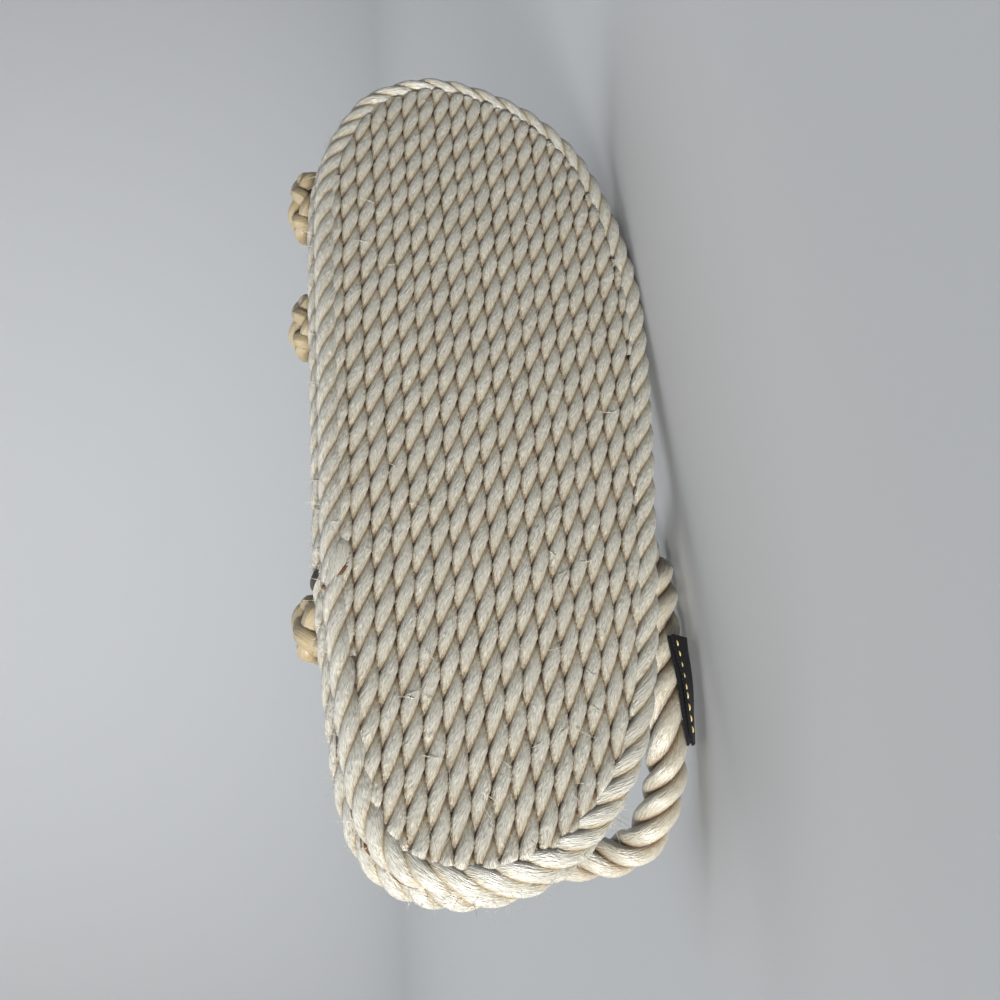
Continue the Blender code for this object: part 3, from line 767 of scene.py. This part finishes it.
def fold_tape():
    """The tape as one folded band: its section is a narrow U, with the fold to the tread."""
    base, along, wide, facing = label_frame()
    fold_middle = -LABEL_WIDTH / 2 + LABEL_THICKNESS / 2
    outer_bend = LABEL_THICKNESS / 2
    inner_bend = outer_bend - TAPE_THICKNESS
    open_edge = LABEL_WIDTH / 2
    bend = np.linspace(-math.pi / 2, -3 * math.pi / 2, 9)
    section = [(side, 0.0) for side in np.linspace(open_edge, fold_middle, 9)[:-1]]
    section += [(fold_middle + outer_bend * math.cos(turn), outer_bend + outer_bend * math.sin(turn))
                for turn in bend]
    section += [(side, LABEL_THICKNESS) for side in np.linspace(fold_middle, open_edge, 9)[1:]]
    section += [(side, LABEL_THICKNESS - TAPE_THICKNESS)
                for side in np.linspace(open_edge, fold_middle, 9)[:-1]]
    section += [(fold_middle + inner_bend * math.cos(turn), outer_bend + inner_bend * math.sin(turn))
                for turn in bend[::-1]]
    section += [(side, TAPE_THICKNESS) for side in np.linspace(fold_middle, open_edge, 9)[1:]]
    section = np.array(section + section[:1])
    share = np.linspace(0, 1, len(base))
    flare = 0.00035 * np.sin(9 * share + 0.6)
    gape = (section[:, 1] / LABEL_THICKNESS) * np.clip(section[:, 0] / open_edge, 0, 1) * 0.0003
    lift = LABEL_LIFT + section[None, :, 1] + gape[None, :] * np.sin(5 * share)[:, None]
    places = (base[:, None] + wide[:, None] * (section[None, :, 0] + flare[:, None])[..., None]
              + facing[:, None] * lift[..., None])
    around = np.concatenate(([0.0], np.cumsum(np.linalg.norm(np.diff(section, axis=0), axis=1)))) * 1000
    marks = np.stack((np.broadcast_to(around, places.shape[:2]),
                      np.broadcast_to((share * LABEL_LENGTH * 1000)[:, None], places.shape[:2])), axis=-1)
    shown = np.ones(places.shape[:2], dtype=bool)
    ends = []
    for ring, sign in ((0, 1), (-1, -1)):
        rim = places[ring]
        half = len(rim) // 2
        facing_edge = np.stack((rim[:half], rim[::-1][:half]))[::sign]
        ends.append([facing_edge, np.zeros((2, half, 2)), np.zeros((2, half)), shown[:2, :half]])
    return [[places, marks, np.zeros(places.shape[:2]), shown], *ends]


def sew_edge():
    """The gold thread as short raised stitches near the open edge of the outer face."""
    base, along, wide, facing = label_frame()
    stitches = []
    turn = np.linspace(0, 2 * math.pi, 7)
    for stitch in range(STITCHES):
        first = 2 + round(stitch * (len(base) - 6) / STITCHES)
        share = np.linspace(0, 1, 7)
        rows = first + share * STITCH_STEPS
        low = np.floor(rows).astype(int)
        part = (rows - low)[:, None]
        middle = base[low] * (1 - part) + base[low + 1] * part
        out = LABEL_LIFT + LABEL_THICKNESS + STITCH_RISE * np.sin(math.pi * share)
        side = LABEL_WIDTH * STITCH_SIDE
        middle = middle + wide[low] * side + facing[low] * out[:, None]
        thick = STITCH_RADIUS * np.sqrt(np.clip(1 - (2 * share - 1) ** 2, 0.05, 1))
        places = (middle[:, None] + wide[low][:, None] * (thick[:, None] * np.cos(turn))[..., None]
                  - facing[low][:, None] * (thick[:, None] * np.sin(turn))[..., None])
        stitches.append([places, np.zeros((7, 7, 2)), np.zeros((7, 7)), np.ones((7, 7), dtype=bool)])
    return stitches


def tape_finish():
    """Black polyester tape with a fine twill, a little lighter on its high threads."""
    made = bpy.data.materials.new("black_tape")
    made.use_nodes = True
    nodes, links = made.node_tree.nodes, made.node_tree.links
    cloth = nodes["Principled BSDF"]
    cloth.inputs["Roughness"].default_value = 0.8
    cloth.inputs["Specular IOR Level"].default_value = 0.12
    cloth.inputs["Sheen Weight"].default_value = 0.04
    cloth.inputs["Sheen Roughness"].default_value = 0.4
    run = nodes.new("ShaderNodeUVMap")
    run.uv_map = "run"
    ribs = nodes.new("ShaderNodeTexWave")
    ribs.bands_direction = "DIAGONAL"
    ribs.inputs["Scale"].default_value = 0.55
    ribs.inputs["Distortion"].default_value = 0.6
    ribs.inputs["Detail"].default_value = 1.0
    links.new(run.outputs["UV"], ribs.inputs["Vector"])
    tone = nodes.new("ShaderNodeValToRGB")
    tone.color_ramp.elements[0].color = (0.003, 0.003, 0.004, 1.0)
    tone.color_ramp.elements[1].color = (0.012, 0.012, 0.015, 1.0)
    links.new(ribs.outputs["Fac"], tone.inputs["Fac"])
    links.new(tone.outputs["Color"], cloth.inputs["Base Color"])
    relief = nodes.new("ShaderNodeBump")
    relief.inputs["Strength"].default_value = 0.5
    relief.inputs["Distance"].default_value = 0.0002
    links.new(ribs.outputs["Fac"], relief.inputs["Height"])
    links.new(relief.outputs["Normal"], cloth.inputs["Normal"])
    return made


black_tape = tape_finish()
gold_thread = rope_finish("gold_thread", (0.62, 0.47, 0.17), (0.55, 0.40, 0.14), (0.30, 0.20, 0.06),
                          (0.10, 0.06, 0.02), roughness=0.35, sheen=0.0, bump=0.2, streaks=0.2)
rope_piece("folded_label", fold_tape(), black_tape, "woven_tape", "label")
rope_piece("label_stitches", sew_edge(), gold_thread, "woven_tape")

# Knots. Each strap's inner end is worked into a woven barrel knot on the sole's inner edge, from the
# same yarn but tighter, so it looks tan and duller.
# Columns: name, centre in millimetres, length, strand radius, middle radius, leads, bights.
KNOTS = (
    ("knot_toe", (235.2, 22.2, 47.6), 26.5, 2.75, 5.5, 5, 4),
    ("knot_ball", (184.8, 22.0, 47.8), 22.5, 2.65, 5.4, 5, 4),
    ("knot_heel", (80.64, 21.8, 48.0), 19.0, 3.10, 4.9, 3, 4),
)


# The relief is how far a strand stands out over another, in millimetres. The tapers are how much of
# the barrel's thickness and of the core's is lost towards the ends.
STEPS_PER_LEAD = 110
KNOT_START = 0.6
KNOT_FLATNESS = 0.92
KNOT_RELIEF = 1.15
KNOT_TAPER = 0.52
CORE_TAPER = 0.98
CORE_SHARE = 0.86


def tie_knot(centre, length, strand_radius, middle_radius, leads, bights, seed):
    """A woven band closed round a barrel: each lead goes over one neighbour and under the next."""
    count = STEPS_PER_LEAD * leads
    t = np.linspace(0, 2 * math.pi, count + 1)
    phase = bights * t
    reach = length / 2 - strand_radius
    along_edge = reach * np.cos(phase)
    over = np.cos(leads * phase) * np.sin(phase) / (np.abs(np.sin(phase)) + 0.20)
    barrel = middle_radius * np.sqrt(1 - KNOT_TAPER * np.cos(phase) ** 2) + KNOT_RELIEF * over
    around = leads * t + KNOT_START
    line = np.column_stack((along_edge, barrel * np.cos(around), barrel * np.sin(around)))
    ahead = np.roll(line[:-1], -1, axis=0) - np.roll(line[:-1], 1, axis=0)
    along = np.vstack((ahead, ahead[:1]))
    along /= np.linalg.norm(along, axis=1)[:, None]
    outward = np.column_stack((0.35 * np.cos(phase), np.cos(around), np.sin(around)))
    outward -= along * np.sum(outward * along, axis=1)[:, None]
    outward /= np.linalg.norm(outward, axis=1)[:, None]
    sideways = np.cross(along, outward)
    travelled = np.concatenate(([0.0], np.cumsum(np.linalg.norm(np.diff(line, axis=0), axis=1))))
    turn = np.linspace(0, 2 * math.pi, 11)
    places = (line[:, None] + outward[:, None] * (KNOT_FLATNESS * strand_radius * np.cos(turn))[None, :, None]
              + sideways[:, None] * (strand_radius * np.sin(turn))[None, :, None])
    size = places.shape[:2]
    marks = np.stack((np.broadcast_to(turn * strand_radius + seed, size) + travelled[:, None] * 0.30,
                      np.broadcast_to(travelled[:, None], size)), axis=-1)
    # Painted shade: each strand is darker on its inner side and where it passes under a neighbour.
    sunk = np.clip(0.5 - 0.5 * np.cos(turn)[None, :] - 0.25 * over[:, None], 0, 1)
    return [(places + np.array(centre)) / 1000, marks, sunk ** 1.1 * 0.9, np.ones(size, dtype=bool)]


def knot_core(centre, length, radius):
    """The strap's end inside a knot, which closes the gaps between its strands. Its dark colour, 0.85 on the
    groove ramp, is painted shade for the knot's inside.
    """
    share = np.linspace(0, 1, 13)
    turn = np.linspace(0, 2 * math.pi, 15)
    size = radius * np.sqrt(np.clip(1 - (2 * share - 1) ** 2 * CORE_TAPER, 0, 1))
    x = np.broadcast_to(((share - 0.5) * length * CORE_SHARE)[:, None], (13, 15))
    places = np.stack((x, size[:, None] * np.cos(turn), size[:, None] * np.sin(turn)), axis=-1)
    places = places + np.array(centre)
    marks = np.stack((np.broadcast_to(turn * radius, (13, 15)), x), axis=-1)
    return [places / 1000, marks, np.full((13, 15), 0.85), np.ones((13, 15), dtype=bool)]


# The knot's tan crest is its own colour; its flank, groove and pit colours are painted shade for the hollows
# of the weave.
knot_rope = rope_finish("knot_rope", (0.36, 0.285, 0.165), (0.29, 0.215, 0.11), (0.13, 0.08, 0.032),
                        (0.05, 0.027, 0.01), roughness=0.52, sheen=0.12, bump=0.50, streaks=0.26, ior=1.7)
for number, (name, centre, length, strand_radius, middle_radius, leads, bights) in enumerate(KNOTS):
    weave = tie_knot(centre, length, strand_radius, middle_radius, leads, bights, number * 13.0)
    core = knot_core(centre, length, middle_radius)
    rope_piece(name + "_weave", [weave, core], knot_rope, "knot_rope", name)
